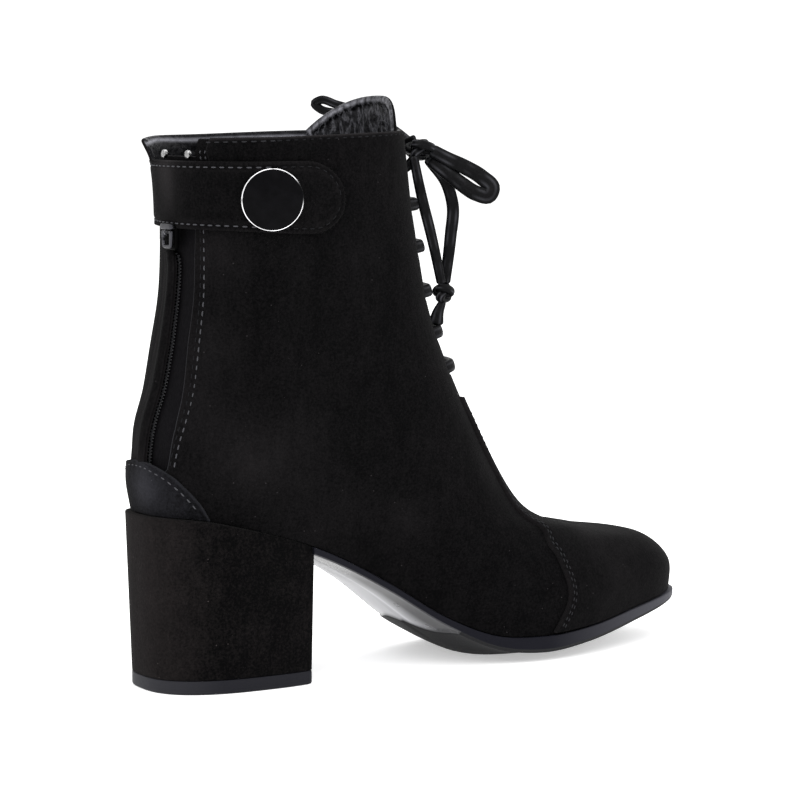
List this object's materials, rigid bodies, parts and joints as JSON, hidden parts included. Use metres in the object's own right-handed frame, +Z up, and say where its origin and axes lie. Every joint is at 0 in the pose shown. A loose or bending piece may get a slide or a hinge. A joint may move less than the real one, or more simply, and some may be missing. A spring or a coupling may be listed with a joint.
{
  "type": "boot",
  "caption": "Suede lace-up ankle boot for the right foot, with a covered block heel, a back zip under a buttoned strap, a tongue and a tied bow.",
  "frame": {"origin": "on the floor under the middle of the heel's top lift", "axes": "+X to the toe, +Y to the wearer's left, +Z up"},
  "size_m": [0.2335, 0.0948, 0.2118],
  "materials": {
    "suede": "matt suede nap",
    "toe_suede": "matt suede nap",
    "counter_suede": "suede with a slight sheen",
    "heel_suede": "matt suede nap",
    "lift_rubber": "matt rubber",
    "tongue_leather": "glossy crinkled leather",
    "insole_leather": "smooth satin leather",
    "sole_rubber": "satin edge, glossy shank and matt tread",
    "zip_cloth": "woven tape with a chain of teeth",
    "zip_metal": "gunmetal",
    "button_metal": "polished",
    "button_gloss": "polished black",
    "lace_leather": "soft satin leather"
  },
  "bodies": {
    "boot": {"upper": "suede", "strap": "suede", "toe_piece": "toe_suede", "counter": "counter_suede", "heel_block": "heel_suede", "heel_top_lift": "lift_rubber", "tongue": "tongue_leather", "insole": "insole_leather", "outsole": "sole_rubber", "zip_tape": "zip_cloth", "zip_slider": "zip_metal", "zip_stop_far": "zip_metal", "zip_stop_near": "zip_metal", "button_rim": "button_metal", "button_cap": "button_gloss", "lace_bar_1": "lace_leather", "lace_bar_2": "lace_leather", "lace_bar_3": "lace_leather", "lace_bar_4": "lace_leather", "lace_bar_5": "lace_leather", "bow_knot": "lace_leather", "bow_loop_far": "lace_leather", "bow_loop_near": "lace_leather", "lace_end_1": "lace_leather", "lace_end_2": "lace_leather", "lace_end_knot": "lace_leather", "lace_tail": "lace_leather"},
    "zip_tab": {"zip_pull": "zip_metal"}
  },
  "joints": [
    {"name": "zip_pull_hinge", "type": "hinge", "parent": "boot", "child": "zip_tab", "pos_m": [-0.0179, -0.0015, 0.1636], "axis": [0, 1, 0], "range_deg": [0, 90]}
  ]
}
